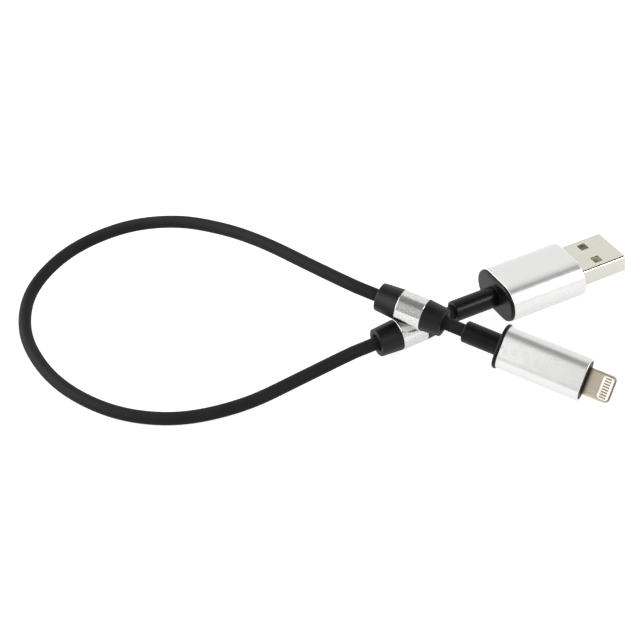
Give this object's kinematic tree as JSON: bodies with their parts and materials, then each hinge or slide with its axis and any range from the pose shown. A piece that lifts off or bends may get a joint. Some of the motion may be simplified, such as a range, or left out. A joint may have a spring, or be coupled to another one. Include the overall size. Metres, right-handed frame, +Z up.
{
  "type": "charging cable",
  "caption": "Short black charging cable with a flat host plug, a small reversible phone plug and two sliding magnetic collars that hold the cord in a loop.",
  "frame": {"origin": "middle of the host plug's tip face", "axes": "+X is the way the host plug goes in, +Z is up from the surface the cable lies on, with the plug's broad face up"},
  "size_m": [0.1408, 0.1215, 0.0177],
  "materials": {
    "brushed_aluminium": "brushed, satin",
    "nickel_plated_steel": "plated, satin",
    "gilded_contact": "polished",
    "black_rubber": "satin",
    "cord_jacket": "matte",
    "black_plastic": "matte",
    "tongue_plastic": "matte",
    "white_plastic": "satin",
    "green_board": "solder mask",
    "wire_insulation": "satin",
    "crimped_tin": "satin",
    "magnet_plating": "plated"
  },
  "bodies": {
    "cable": {"host_plug_shell": "nickel_plated_steel", "host_plug_tongue": "tongue_plastic", "host_plug_contacts": "gilded_contact", "host_plug_core": "black_plastic", "host_plug_sleeve": "brushed_aluminium", "host_plug_end_cap": "black_rubber", "host_plug_crimp": "crimped_tin", "host_plug_wires": "wire_insulation", "phone_plug_frame": "nickel_plated_steel", "phone_plug_insert": "white_plastic", "phone_plug_contacts": "gilded_contact", "phone_plug_board": "green_board", "phone_plug_core": "black_plastic", "phone_plug_bezel": "black_plastic", "phone_plug_sleeve": "brushed_aluminium", "phone_plug_end_cap": "black_rubber", "phone_plug_crimp": "crimped_tin", "phone_plug_wires": "wire_insulation", "cord": "cord_jacket"},
    "lower_collar": {"lower_collar_band": "brushed_aluminium", "lower_collar_front_cap": "black_rubber", "lower_collar_rear_cap": "black_rubber", "lower_collar_magnet": "magnet_plating"},
    "upper_collar": {"upper_collar_band": "brushed_aluminium", "upper_collar_front_cap": "black_rubber", "upper_collar_rear_cap": "black_rubber", "upper_collar_magnet": "magnet_plating"}
  },
  "joints": [
    {"name": "lower_collar_slide", "type": "slide", "parent": "cable", "child": "lower_collar", "axis": [0.9994, 0, 0.0349], "range_m": [-0.005, 0.0036]},
    {"name": "upper_collar_slide", "type": "slide", "parent": "cable", "child": "upper_collar", "axis": [0.5677, -0.8048, -0.1734], "range_m": [-0.005, 0.005]}
  ]
}
